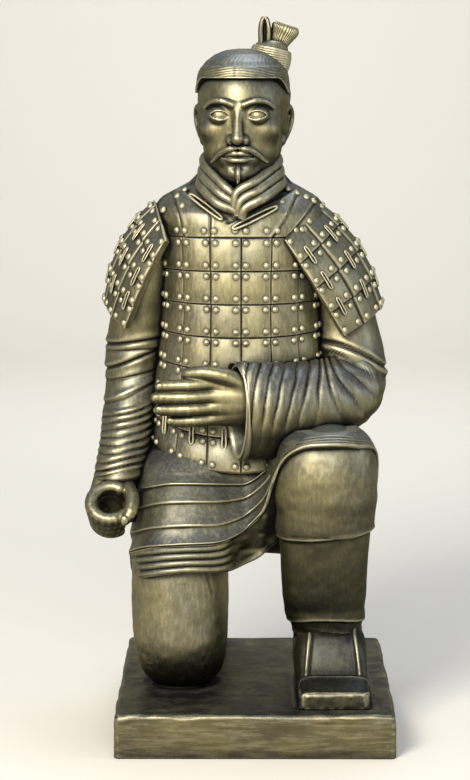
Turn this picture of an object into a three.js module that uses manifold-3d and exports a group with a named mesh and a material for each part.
// A kneeling armoured warrior, one casting, on a rectangular plinth.
// Millimetres, X to the viewer's right, Y away from the viewer, Z up. The figure faces -Y.
// The origin is the centre of the plinth's underside.
import * as THREE from "three";
import { mergeVertices } from "three/addons/utils/BufferGeometryUtils.js";
import Module from "manifold-3d";

const wasm = await Module();
wasm.setup();

// The plinth and how the figure rests on it.
const plinthWidth = 470;
const plinthDepth = 560;
const plinthHeight = 75;
const plinthEdgeRadius = 9;
const plinthCornerRadius = 10;
const restingGap = 0.3;

// The figure's height over the plinth. Everything on the figure is given in parts of it:
// 1148 parts make the height, so a part is one millimetre on this copy.
const figureHeight = 1148;
const partsInHeight = 1148;

// The armour, in parts of the figure.
const plateTop = 774;
const plateRim = 376;
const plateRows = 7;
const plateColumns = 16;
const plateLap = 5;
const seamDepth = 3;
const guardRows = 4;
const guardColumns = 6;
const guardThickness = 17;

// The robe's bands and the sleeves' folds.
const robeBands = 5;
const bandDepth = 4;
const foldDepth = 3.5;

const turn = Math.PI * 2;
const mix = THREE.MathUtils.lerp;
const smooth = THREE.MathUtils.smoothstep;
const count = (n, make) => Array.from({ length: n }, (_, i) => make(i));

// The row of numbers at place t on a smooth curve through the rows: 0 is the first, 1 the second.
function rowAt(rows, t, closed = false) {
  const n = rows.length;
  const i = closed ? Math.floor(t) : Math.min(Math.floor(t), n - 2);
  const f = t - i;
  const row = (k) => (closed ? rows[((k % n) + n) % n] : rows[Math.min(Math.max(k, 0), n - 1)]);
  const [a, b, c, d] = [row(i - 1), row(i), row(i + 1), row(i + 2)];
  return b.map((_, k) => {
    const bend = 2 * a[k] - 5 * b[k] + 4 * c[k] - d[k];
    const twist = 3 * (b[k] - c[k]) + d[k] - a[k];
    return b[k] + 0.5 * f * (c[k] - a[k] + f * (bend + f * twist));
  });
}

// A closed solid from its faces, turned round if they face inwards.
function fromFaces(points, faces) {
  const positions = new Float32Array(points.flatMap((p) => [p.x, p.y, p.z]));
  const make = (list) =>
    new wasm.Manifold(
      new wasm.Mesh({ numProp: 3, vertProperties: positions, triVerts: new Uint32Array(list) }),
    );
  const body = make(faces);
  if (body.volume() > 0) return body;
  return make(faces.map((_, i) => faces[i - (i % 3) + (2 - (i % 3))]));
}

// A three.js geometry as a solid.
function fromGeometry(geometry) {
  const bare = new THREE.BufferGeometry();
  bare.setAttribute("position", geometry.getAttribute("position"));
  bare.setIndex(geometry.getIndex());
  const merged = mergeVertices(bare, 1e-4);
  const place = merged.getAttribute("position");
  const points = count(place.count, (i) => new THREE.Vector3().fromBufferAttribute(place, i));
  return fromFaces(points, Array.from(merged.getIndex().array));
}

// A skin over rings of equal count, its two ends closed by a fan.
function skin(rings) {
  const n = rings[0].length;
  const points = rings.flat();
  const faces = [];
  for (let r = 0; r + 1 < rings.length; r += 1) {
    for (let i = 0; i < n; i += 1) {
      const [a, b] = [r * n + i, r * n + ((i + 1) % n)];
      faces.push(a, b, b + n, a, b + n, a + n);
    }
  }
  for (const last of [false, true]) {
    const start = last ? (rings.length - 1) * n : 0;
    const middle = new THREE.Vector3();
    rings[last ? rings.length - 1 : 0].forEach((p) => middle.addScaledVector(p, 1 / n));
    const hub = points.push(middle) - 1;
    for (let i = 0; i < n; i += 1) {
      const [a, b] = [start + i, start + ((i + 1) % n)];
      if (last) faces.push(a, b, hub);
      else faces.push(b, a, hub);
    }
  }
  return fromFaces(points, faces);
}

// A slab between two grids of points of one size, closed along its four edges.
function slab(outer, inner) {
  const [rows, columns] = [outer.length, outer[0].length];
  const points = [...outer.flat(), ...inner.flat()];
  const under = rows * columns;
  const faces = [];
  const quad = (a, b, c, d) => faces.push(a, b, c, a, c, d);
  for (let r = 0; r + 1 < rows; r += 1) {
    for (let c = 0; c + 1 < columns; c += 1) {
      const a = r * columns + c;
      quad(a, a + 1, a + columns + 1, a + columns);
      quad(under + a, under + a + columns, under + a + columns + 1, under + a + 1);
    }
  }
  const rim = [
    ...count(columns - 1, (c) => c),
    ...count(rows - 1, (r) => r * columns + columns - 1),
    ...count(columns - 1, (c) => rows * columns - 1 - c),
    ...count(rows - 1, (r) => (rows - 1 - r) * columns),
  ];
  rim.forEach((a, i) => {
    const b = rim[(i + 1) % rim.length];
    quad(b, a, under + a, under + b);
  });
  return fromFaces(points, faces);
}

// A point on a rounded outline: power 2 is an ellipse, and a higher power is squarer.
function outline(angle, power) {
  const bend = (v) => Math.sign(v) * Math.abs(v) ** (2 / power);
  return [bend(Math.cos(angle)), bend(Math.sin(angle))];
}

// A limb along a path. Each row is centre x, y, z, half-width along side, half-width across it.
function limb(rows, options = {}) {
  const { around = 16, along = (rows.length - 1) * 3, side = [1, 0, 0] } = options;
  const { power = 2, relief = () => 0 } = options;
  const last = rows.length - 1;
  const rings = count(along + 1, (k) => {
    const s = (k / along) * last;
    const [x, y, z, wide, deep] = rowAt(rows, s);
    const before = rowAt(rows, Math.max(s - 0.02, 0));
    const after = rowAt(rows, Math.min(s + 0.02, last));
    const run = new THREE.Vector3(...after.slice(0, 3)).sub(new THREE.Vector3(...before.slice(0, 3)));
    run.normalize();
    const across = new THREE.Vector3(...side).addScaledVector(run, -run.dot(new THREE.Vector3(...side)));
    across.normalize();
    const up = run.clone().cross(across);
    return count(around, (i) => {
      const angle = (i / around) * turn;
      const [c, d] = outline(angle, power);
      const more = relief(s / last, angle);
      return new THREE.Vector3(x, y, z)
        .addScaledVector(across, c * (wide + more))
        .addScaledVector(up, d * (deep + more));
    });
  });
  return skin(rings);
}

// A body in level sections. Each row is z, centre x, centre y, half-width in x, half-width in y.
function level(rows, options = {}) {
  const { around = 24, along = (rows.length - 1) * 2, power = 2.2 } = options;
  return skin(
    count(along + 1, (k) => {
      const [z, x, y, wide, deep] = rowAt(rows, (k / along) * (rows.length - 1));
      return count(around, (i) => {
        const [c, d] = outline((i / around) * turn, power);
        return new THREE.Vector3(x + wide * c, y + deep * d, z);
      });
    }),
  );
}

// A rounded lump: half-sizes and centre, turned about its own x, y, z.
function lump(size, centre, turned = [0, 0, 0], segments = [12, 8]) {
  const ball = new THREE.SphereGeometry(1, ...segments);
  const place = new THREE.Matrix4().compose(
    new THREE.Vector3(...centre),
    new THREE.Quaternion().setFromEuler(new THREE.Euler(...turned)),
    new THREE.Vector3(...size),
  );
  return fromGeometry(ball.applyMatrix4(place));
}

const join = (bodies) => bodies.reduce((all, body) => all.add(body));

// The armour on the body: level rows of plates from the yoke down to a rim that rises at the sides.
function armour() {
  const rows = [
    [330, -24, 40, 150, 136],
    [376, -24, 38, 156, 140],
    [430, -24, 38, 152, 131],
    [500, -24, 38, 146, 121],
    [580, -24, 38, 138, 114],
    [660, -24, 38, 136, 113],
    [720, -24, 38, 138, 114],
    [774, -24, 38, 142, 112],
    [812, -27, 38, 146, 104],
    [834, -27, 40, 132, 88],
    [850, -26, 42, 104, 74],
    [866, -25, 42, 76, 64],
    [900, -24, 38, 58, 58],
  ];
  const placeOf = (z) => {
    let i = 0;
    while (i < rows.length - 2 && rows[i + 1][0] < z) i += 1;
    return i + (z - rows[i][0]) / (rows[i + 1][0] - rows[i][0]);
  };
  const pitch = (plateTop - plateRim) / plateRows;
  const levels = [[plateRim, -14], [plateRim, 0]];
  for (let k = 1; k <= plateRows; k += 1) {
    const z = plateRim + k * pitch;
    levels.push([z - 2, -plateLap], [z + 2, 0]);
  }
  for (const z of [812, 834, 850, 866, 900]) levels.push([z, -2]);
  return skin(
    levels.map(([z, lap]) => {
      const [, x, y, wide, deep] = rowAt(rows, placeOf(z));
      const share = Math.max(0, 1 - (z - plateRim) / (plateTop - plateRim));
      const plated = z > plateRim + 1 && z <= plateTop + 3 ? 1 : 0;
      return count(plateColumns * 2, (i) => {
        const angle = -turn / 4 + ((i + 1) / (plateColumns * 2)) * turn;
        const [c, d] = outline(angle, 2.3);
        const rise = 42 * Math.cos(angle) ** 2 * share ** 2;
        const more = lap - (i % 2 ? 0 : seamDepth) * plated;
        return new THREE.Vector3(x + (wide + more) * c, y + (deep + more) * d, z + rise);
      });
    }),
  );
}

// A shoulder guard: rows of plates on a curved sheet over the shoulder and the upper arm.
// Its two ends are rows of points from front to back, at the neck and on the arm.
function shoulderGuard(neckEdge, armEdge, hubs) {
  const place = (u, w, lift) => {
    const [a, b] = [neckEdge, armEdge].map((edge) => new THREE.Vector3(...rowAt(edge, u * 6)));
    const hub = new THREE.Vector3(...hubs[0]).lerp(new THREE.Vector3(...hubs[1]), w);
    const p = a.lerp(b, w);
    const out = p.clone().sub(hub);
    out.y *= 0.8;
    const bulge = (5 + 16 * Math.sin(u * Math.PI) ** 0.6) * Math.sin(w * Math.PI);
    return p.addScaledVector(out.normalize(), bulge + lift);
  };
  const stops = (n, half) => {
    const list = [0];
    for (let k = 1; k < n; k += 1) list.push(k / n - half, k / n + half);
    return [...list, 1];
  };
  const us = stops(guardColumns, 0.012);
  const ws = stops(guardRows, 0.008);
  const outer = ws.map((w, r) =>
    us.map((u, c) => place(u, w, (r % 2 ? plateLap : 0) + (c % 2 ? 2 : 0))),
  );
  const inner = ws.map((w) => us.map((u) => place(u, w, -guardThickness)));
  return slab(outer, inner);
}

const leftGuard = [
  [[50, -72, 770], [80, -40, 800], [103, 8, 824], [110, 42, 830], [103, 76, 824], [80, 122, 800], [50, 154, 770]],
  [[152, -46, 604], [186, -20, 622], [214, 12, 641], [222, 42, 647], [214, 72, 641], [186, 106, 622], [152, 132, 604]],
  [[40, 42, 746], [124, 42, 612]],
];
const rightGuard = [
  [[-153, -70, 769], [-163, -36, 800], [-172, 10, 824], [-176, 44, 830], [-172, 78, 824], [-158, 122, 800], [-132, 154, 770]],
  [[-222, -44, 616], [-244, -16, 632], [-258, 16, 648], [-262, 46, 653], [-258, 76, 648], [-240, 110, 630], [-212, 134, 610]],
  [[-104, 44, 742], [-184, 46, 612]],
];

// The robe: columns of points in the middle of its fall, at the outer hem and at the under hem.
const robeColumns = [
  [[-12, -98, 350], [-8, -140, 290], [-8, -116, 221]],
  [[18, -104, 372], [18, -150, 322], [14, -110, 232]],
  [[42, -108, 402], [32, -176, 372], [30, -98, 244]],
  [[62, -124, 446], [48, -204, 414], [50, -90, 262]],
  [[88, -118, 478], [78, -220, 440], [84, -90, 300]],
  [[124, -116, 490], [122, -228, 446], [122, -90, 300]],
  [[158, -106, 478], [166, -214, 442], [154, -80, 300]],
  [[184, -50, 432], [202, -164, 420], [170, -50, 290]],
  [[188, 20, 366], [203, -60, 320], [180, -10, 262]],
  [[160, 110, 325], [176, 90, 225], [156, 90, 192]],
  [[80, 185, 305], [88, 215, 184], [78, 200, 172]],
  [[-20, 200, 295], [-20, 248, 178], [-20, 228, 170]],
  [[-115, 182, 290], [-124, 240, 150], [-118, 222, 130]],
  [[-184, 90, 300], [-208, 140, 142], [-194, 130, 106]],
  [[-212, -10, 322], [-222, 0, 214], [-216, 4, 172]],
  [[-190, -88, 340], [-212, -86, 240], [-212, -86, 192]],
  [[-150, -122, 350], [-178, -156, 256], [-176, -156, 206]],
  [[-110, -128, 352], [-118, -178, 264], [-116, -172, 216]],
  [[-70, -120, 350], [-66, -172, 266], [-66, -160, 214]],
  [[-40, -106, 348], [-34, -155, 274], [-34, -136, 213]],
];

// Lifts each point of closed rings along the surface's own normal.
function raise(rings, lifts) {
  const n = rings[0].length;
  return rings.map((ring, r) =>
    ring.map((p, i) => {
      const [a, b] = [rings[Math.max(r - 1, 0)][i], rings[Math.min(r + 1, rings.length - 1)][i]];
      const [c, d] = [ring[(i + n - 1) % n], ring[(i + 1) % n]];
      const out = a.clone().sub(b).cross(d.clone().sub(c)).normalize();
      return p.clone().addScaledVector(out, -lifts[r]);
    }),
  );
}

function robe() {
  const waist = new THREE.Vector3(-22, 45, 440);
  const columns = count(robeColumns.length * 1.5, (i) => {
    const [mid, hem, under] = [0, 1, 2].map((k) =>
      rowAt(robeColumns.map((points) => points[k]), i / 1.5, true),
    );
    const way = Math.atan2((mid[1] - waist.y) / 112, (mid[0] - waist.x) / 135);
    const top = [waist.x + 130 * Math.cos(way), waist.y + 94 * Math.sin(way), waist.z];
    const hip = [0, 1, 2].map((k) => mix(top[k], mid[k], 0.5));
    hip[0] += 34 * Math.cos(way);
    hip[1] += 8 * Math.sin(way);
    return { fall: [top, hip, mid, hem], tuck: [hem, under] };
  });
  const stops = [[0, 0], [0.2, 0], [0.4, 0]];
  for (let k = 0; k < robeBands; k += 1) {
    const v = mix(0.55, 1, (k + 1) / robeBands);
    stops.push([v - 0.015, bandDepth]);
    if (k + 1 < robeBands) stops.push([v + 0.005, -1]);
  }
  const fall = stops.map(([v]) => columns.map((c) => new THREE.Vector3(...rowAt(c.fall, v * 3))));
  const tuck = [0.02, 0.25, 0.5, 0.75, 1].map((v) =>
    columns.map((c) => new THREE.Vector3(...rowAt(c.tuck, v))),
  );
  const lifts = [...stops.map(([, lift]) => lift), -4, 0, -4, 0, -4];
  return skin(raise([...fall, ...tuck], lifts));
}

// The right leg kneels: knee on the plinth, lower leg back along it, foot upright on its toes.
function kneelingLeg() {
  const knee = level(
    [
      [290, -127, -62, 80, 92],
      [200, -127, -60, 81, 95],
      [130, -127, -60, 82, 96],
      [70, -127, -60, 79, 94],
      [28, -127, -56, 70, 80],
      [6, -127, -52, 52, 56],
      [0, -127, -52, 44, 46],
    ],
    { around: 18, along: 7, power: 2.3 },
  );
  const shin = limb(
    [
      [-127, -60, 78, 76, 76],
      [-122, 40, 78, 70, 74],
      [-115, 120, 92, 60, 66],
      [-105, 216, 124, 44, 48],
    ],
    { around: 14, along: 4, power: 2.3 },
  );
  const foot = limb(
    [
      [-103, 228, 0, 46, 36],
      [-103, 226, 12, 52, 40],
      [-103, 232, 60, 50, 32],
      [-103, 230, 110, 42, 34],
      [-103, 222, 160, 38, 40],
      [-103, 214, 188, 30, 32],
    ],
    { around: 12, along: 6, power: 2.6 },
  );
  return join([knee, shin, foot]);
}

// The left leg is raised: thigh forward, shin upright in a gaiter, square-toed shoe flat.
function raisedLeg() {
  const thigh = limb(
    [
      [30, 90, 310, 90, 78],
      [70, 0, 345, 92, 82],
      [102, -80, 378, 86, 80],
      [120, -136, 388, 82, 60],
    ],
    { around: 14, along: 4, power: 2.3 },
  );
  const shin = level(
    [
      [456, 120, -126, 56, 60],
      [438, 120, -136, 76, 76],
      [400, 120, -144, 85, 80],
      [350, 120, -144, 86, 79],
      [318, 120, -140, 81, 76],
      [288, 118, -136, 81, 75],
      [276, 118, -134, 76, 70],
      [200, 118, -122, 73, 66],
      [150, 119, -112, 69, 62],
      [112, 123, -102, 60, 60],
      [80, 125, -96, 56, 60],
    ],
    { around: 16, along: 11, power: 2.4 },
  );
  const upper = limb(
    [
      [133, -243, 14, 52, 16],
      [133, -232, 16, 57, 20],
      [133, -200, 20, 58, 28],
      [131, -165, 50, 60, 54],
      [128, -110, 60, 62, 60],
      [126, -40, 58, 60, 58],
      [126, -6, 50, 50, 50],
    ],
    { around: 14, along: 8, power: 3.2, side: [1, 0, 0] },
  );
  const soleLength = 258;
  const soleWidth = 117;
  const corner = 20;
  const tread = new THREE.Shape();
  const [w, l] = [soleWidth / 2 - corner, soleLength / 2 - corner];
  tread.absarc(w, l, corner, 0, turn / 4);
  tread.absarc(-w, l, corner, turn / 4, turn / 2);
  tread.absarc(-w, -l, corner, turn / 2, turn * 0.75);
  tread.absarc(w, -l, corner, turn * 0.75, turn);
  const sole = new THREE.ExtrudeGeometry(tread, { depth: 27, bevelEnabled: false, curveSegments: 4 });
  sole.translate(133, -248 + soleLength / 2, 0);
  return join([thigh, shin, upper, fromGeometry(sole)]);
}

// The right arm hangs down; its sleeve is gathered in ring folds over the wrist.
function hangingArm() {
  return limb(
    [
      [-112, 38, 790, 42, 46],
      [-156, 40, 758, 46, 50],
      [-188, 42, 690, 54, 56],
      [-200, 48, 620, 53, 56],
      [-210, 54, 565, 52, 56],
      [-212, 50, 510, 50, 54],
      [-217, 24, 455, 49, 54],
      [-225, -6, 405, 45, 52],
      [-235, -36, 362, 42, 48],
      [-242, -50, 340, 40, 42],
    ],
    {
      around: 14,
      along: 24,
      relief: (s, angle) => {
        const gathered = smooth(s, 0.55, 0.66);
        return gathered * foldDepth * Math.sin(s * 58 + 0.7 * Math.sin(angle));
      },
    },
  );
}

// The left arm bends across the body; its sleeve opens in a tall cuff beside the belly.
function bentArm() {
  const upper = limb(
    [
      [56, 38, 790, 40, 46],
      [110, 42, 762, 47, 50],
      [141, 42, 692, 56, 58],
      [154, 42, 620, 58, 60],
      [164, 34, 560, 62, 64],
      [166, 20, 505, 60, 66],
      [150, 5, 470, 48, 56],
    ],
    { around: 14, along: 8 },
  );
  const fore = limb(
    [
      [170, 20, 512, 40, 50],
      [158, -14, 506, 54, 66],
      [116, -60, 496, 56, 70],
      [60, -98, 488, 52, 76],
      [14, -124, 487, 48, 82],
      [-22, -138, 488, 44, 84],
      [-29, -141, 488, 40, 80],
    ],
    {
      around: 18,
      along: 11,
      side: [-0.55, -0.83, 0],
      relief: (s, angle) => {
        const amount = smooth(s, 0.3, 0.5) * (1 - smooth(s, 0.9, 0.97));
        return amount * foldDepth * Math.sin(angle * 7 + s * 5);
      },
    },
  );
  return join([upper, fore]);
}

// The right hand is a ring-shaped fist that once held a shaft: four curled fingers and a thumb.
function ringFist() {
  const grip = new THREE.Vector3(0, -0.8, 0.6);
  const inside = 21;
  const finger = 17;
  const knuckles = count(4, (k) => [
    [inside + 21 - k * 1.5, -finger * (k - 1.3)],
    [inside + 17 - k * 1.5, -finger * (k - 0.75)],
  ]);
  const ends = [[inside, -finger * 2.9], [inside - 1, finger * 1.2], [inside + 6, finger * 1.75]];
  const profile = [...ends, ...knuckles.flat(), [inside + 8, -finger * 3.1], ends[0]];
  const rings = new THREE.LatheGeometry(profile.map((p) => new THREE.Vector2(...p)), 14);
  rings.applyQuaternion(new THREE.Quaternion().setFromUnitVectors(new THREE.Vector3(0, 1, 0), grip));
  rings.translate(-247, -92, 311);
  const back = limb(
    [
      [-240, -48, 352, 34, 32],
      [-246, -58, 336, 36, 22],
      [-250, -60, 318, 34, 14],
    ],
    { around: 10, along: 3 },
  );
  const thumb = limb(
    [
      [-216, -74, 350, 12, 12],
      [-208, -100, 330, 12, 12],
      [-211, -120, 310, 11, 11],
      [-220, -130, 298, 8, 8],
    ],
    { around: 7, along: 4 },
  );
  return join([fromGeometry(rings), back, thumb]);
}

// The left hand lies flat on the belly, four fingers together and the thumb along the top.
function flatHand() {
  const back = limb(
    [
      [-10, -134, 505, 24, 36],
      [-40, -142, 508, 22, 41],
      [-70, -143, 508, 18, 42],
      [-88, -140, 508, 12, 38],
    ],
    { around: 10, along: 3, side: [0, -1, 0], power: 2.4 },
  );
  const fingers = [
    [-76, 534, -165, 527, 11],
    [-74, 514, -176, 509, 11],
    [-75, 495, -168, 490, 10.5],
    [-76, 476, -150, 470, 9.5],
  ].map(([x0, z0, x1, z1, r]) =>
    limb(
      [
        [x0, -143, z0, r, r],
        [mix(x0, x1, 0.5), -146, mix(z0, z1, 0.45), r, r],
        [x1 + 6, -132, z1, r * 0.9, r * 0.9],
        [x1, -129, z1, r * 0.4, r * 0.4],
      ],
      { around: 7, along: 4, side: [0, -1, 0] },
    ),
  );
  const thumb = limb(
    [
      [-36, -146, 540, 14, 14],
      [-72, -146, 552, 12, 12],
      [-106, -138, 550, 11, 10],
      [-118, -134, 549, 5, 5],
    ],
    { around: 7, along: 4, side: [0, -1, 0] },
  );
  return join([back, ...fingers, thumb]);
}

// Three thick rolls of scarf stand round the neck on each side and cross in a V under the chin.
function collar() {
  const side = (ways, front, down) =>
    count(3, (k) =>
      limb(
        [
          [-24, 66 + k * 3, 912 - k * 19, 11, 11],
          [-24 + ways * (50 + k * 3), 44 + k * 2, 911 - k * 19, 11, 11],
          [-24 + ways * (62 + k * 3), -5, 902 - k * 19, 11, 11],
          [-25 + ways * (54 + k * 4), -46 - k * 4, 888 - k * 17, 10, 10],
          [-26 + ways * (26 + k * 6), -84 - k * 4 - front, 864 - k * 14, 9, 9],
          [-33 + ways * (2 + k * 7), -98 - k * 3 - front, 848 - k * 13, 8, 8],
          [-35 + ways * (k * 6), -102 - k * 3 - front, 848 - k * 14 - down * (3 - k), 8, 8],
        ],
        { around: 6, along: 8, side: [0, 0, 1] },
      ),
    );
  return join([...side(-1, 0, 0), ...side(1, 7, 9)]);
}

// The head, worked out round its own middle and then turned a little to the figure's right.
function head() {
  const skull = level(
    [
      [-110, 0, -60, 22, 22],
      [-98, 0, -46, 40, 42],
      [-80, 0, -29, 55, 62],
      [-50, 0, -14, 67, 80],
      [-15, 0, -5, 74, 92],
      [20, 0, 0, 77, 97],
      [50, 0, 2, 77, 97],
      [80, 0, 4, 66, 84],
      [104, 0, 4, 44, 58],
      [111, 0, 4, 20, 26],
    ],
    { around: 18, along: 9, power: 2.25 },
  );
  const neck = level(
    [
      [-60, 0, 20, 56, 58],
      [-150, 0, 36, 58, 60],
    ],
    { around: 12, along: 1 },
  );
  const hair = level(
    [
      [56, 0, 6, 81, 100],
      [74, 0, 6, 81, 98],
      [76, 0, 6, 76, 92],
      [96, 0, 6, 58, 72],
      [110, 0, 6, 32, 42],
      [114, 0, 6, 10, 14],
    ],
    { around: 18, along: 5, power: 2.25 },
  );
  const nape = lump([70, 48, 84], [0, 56, 0], [0, 0, 0], [10, 6]);
  const nose = limb(
    [
      [0, -92, 34, 7, 6],
      [0, -100, 14, 9, 10],
      [0, -108, -6, 13, 13],
      [0, -100, -16, 12, 7],
    ],
    { around: 6, along: 4 },
  );
  const brow = limb(
    [
      [-56, -70, 40, 8, 8],
      [-28, -92, 44, 8, 8],
      [0, -95, 36, 8, 8],
      [28, -92, 44, 8, 8],
      [56, -70, 40, 8, 8],
    ],
    { around: 5, along: 4, side: [0, 0, 1] },
  );
  const moustache = [-1, 1].map((ways) =>
    limb(
      [
        [0, -97, -26, 6, 6],
        [ways * 18, -95, -32, 7, 7],
        [ways * 40, -80, -46, 3, 4],
      ],
      { around: 5, along: 3, side: [0, 0, 1] },
    ),
  );
  const mouth = lump([24, 12, 11], [0, -84, -46], [0, 0, 0], [6, 4]);
  const beard = lump([9, 12, 20], [0, -80, -86], [0.35, 0, 0], [6, 4]);
  const ears = [-1, 1].map((ways) => lump([11, 18, 31], [ways * 80, 6, -2], [0, ways * 0.1, 0], [7, 5]));
  const all = join([skull, neck, hair, nape, nose, brow, ...moustache, mouth, beard, ...ears]);
  return all.rotate([0, 0, -5]).translate([-21, -5, 978]);
}

// The topknot sits to the figure's left of the crown: a tie, an upright loop and a fan of hair.
function topknot() {
  const tie = limb(
    [
      [20, 8, 1056, 33, 32],
      [25, 8, 1072, 33, 32],
      [29, 8, 1088, 31, 30],
      [32, 8, 1098, 24, 24],
    ],
    { around: 12, along: 3 },
  );
  const loop = limb(
    [
      [20, 4, 1092, 8, 12],
      [15, 4, 1118, 8, 12],
      [22, 4, 1140, 7, 12],
      [32, 4, 1140, 6, 12],
      [37, 4, 1118, 7, 12],
      [36, 6, 1092, 8, 12],
    ],
    { around: 6, along: 9, side: [1, 0, 0] },
  );
  const fan = limb(
    [
      [44, 14, 1086, 17, 14],
      [49, 14, 1104, 19, 15],
      [57, 15, 1122, 24, 16],
      [60, 15, 1128, 22, 12],
    ],
    { around: 8, along: 3, side: [0.9, 0, -0.35] },
  );
  return join([tie, loop, fan]);
}

// A rounded rectangle, counter-clockwise seen from above, drawn in by inset.
function rectangle(inset, z) {
  const [w, d] = [plinthWidth / 2, plinthDepth / 2];
  const r = plinthCornerRadius;
  const corners = [[1, 1, 0], [-1, 1, 1], [-1, -1, 2], [1, -1, 3]];
  return corners.flatMap(([x, y, quarter]) =>
    count(5, (i) => {
      const angle = (quarter + i / 4) * (turn / 4);
      const reach = Math.max(r - inset, 0.5);
      const hub = [x * (w - inset - reach), y * (d - inset - reach)];
      return new THREE.Vector3(hub[0] + reach * Math.cos(angle), hub[1] + reach * Math.sin(angle), z);
    }),
  );
}

function plinth() {
  const r = plinthEdgeRadius;
  const rounded = count(4, (i) => {
    const angle = (i / 3) * (turn / 4);
    return rectangle(r * (1 - Math.cos(angle)), plinthHeight - r + r * Math.sin(angle));
  });
  return skin([rectangle(1.5, 0), rectangle(0, 1.5), ...rounded]);
}

const colours = { bronze: "#6f6746", plinth: "#5f583d" };

function mesh(name, body, colour) {
  const { vertProperties, triVerts } = body.getMesh();
  const geometry = new THREE.BufferGeometry();
  geometry.setAttribute("position", new THREE.BufferAttribute(vertProperties, 3));
  geometry.setIndex(new THREE.BufferAttribute(triVerts, 1));
  const material = new THREE.MeshStandardMaterial({ color: colour, roughness: 0.42, metalness: 0.85 });
  const made = new THREE.Mesh(geometry, material);
  made.name = name;
  return made;
}

// The figure's underside is cut level, so that it rests flat on the plinth.
const below = fromGeometry(new THREE.BoxGeometry(900, 900, 100).translate(0, 0, -50));
const figure = join([
  armour(),
  shoulderGuard(...leftGuard),
  shoulderGuard(...rightGuard),
  robe(),
  kneelingLeg(),
  raisedLeg(),
  hangingArm(),
  bentArm(),
  ringFist(),
  flatHand(),
  collar(),
  head(),
  topknot(),
]).subtract(below);

const warrior = mesh("warrior_figure", figure, colours.bronze);
warrior.scale.setScalar(figureHeight / partsInHeight);
warrior.position.z = plinthHeight + restingGap;

const statue = new THREE.Group();
statue.add(mesh("plinth", plinth(), colours.plinth), warrior);

export default statue;
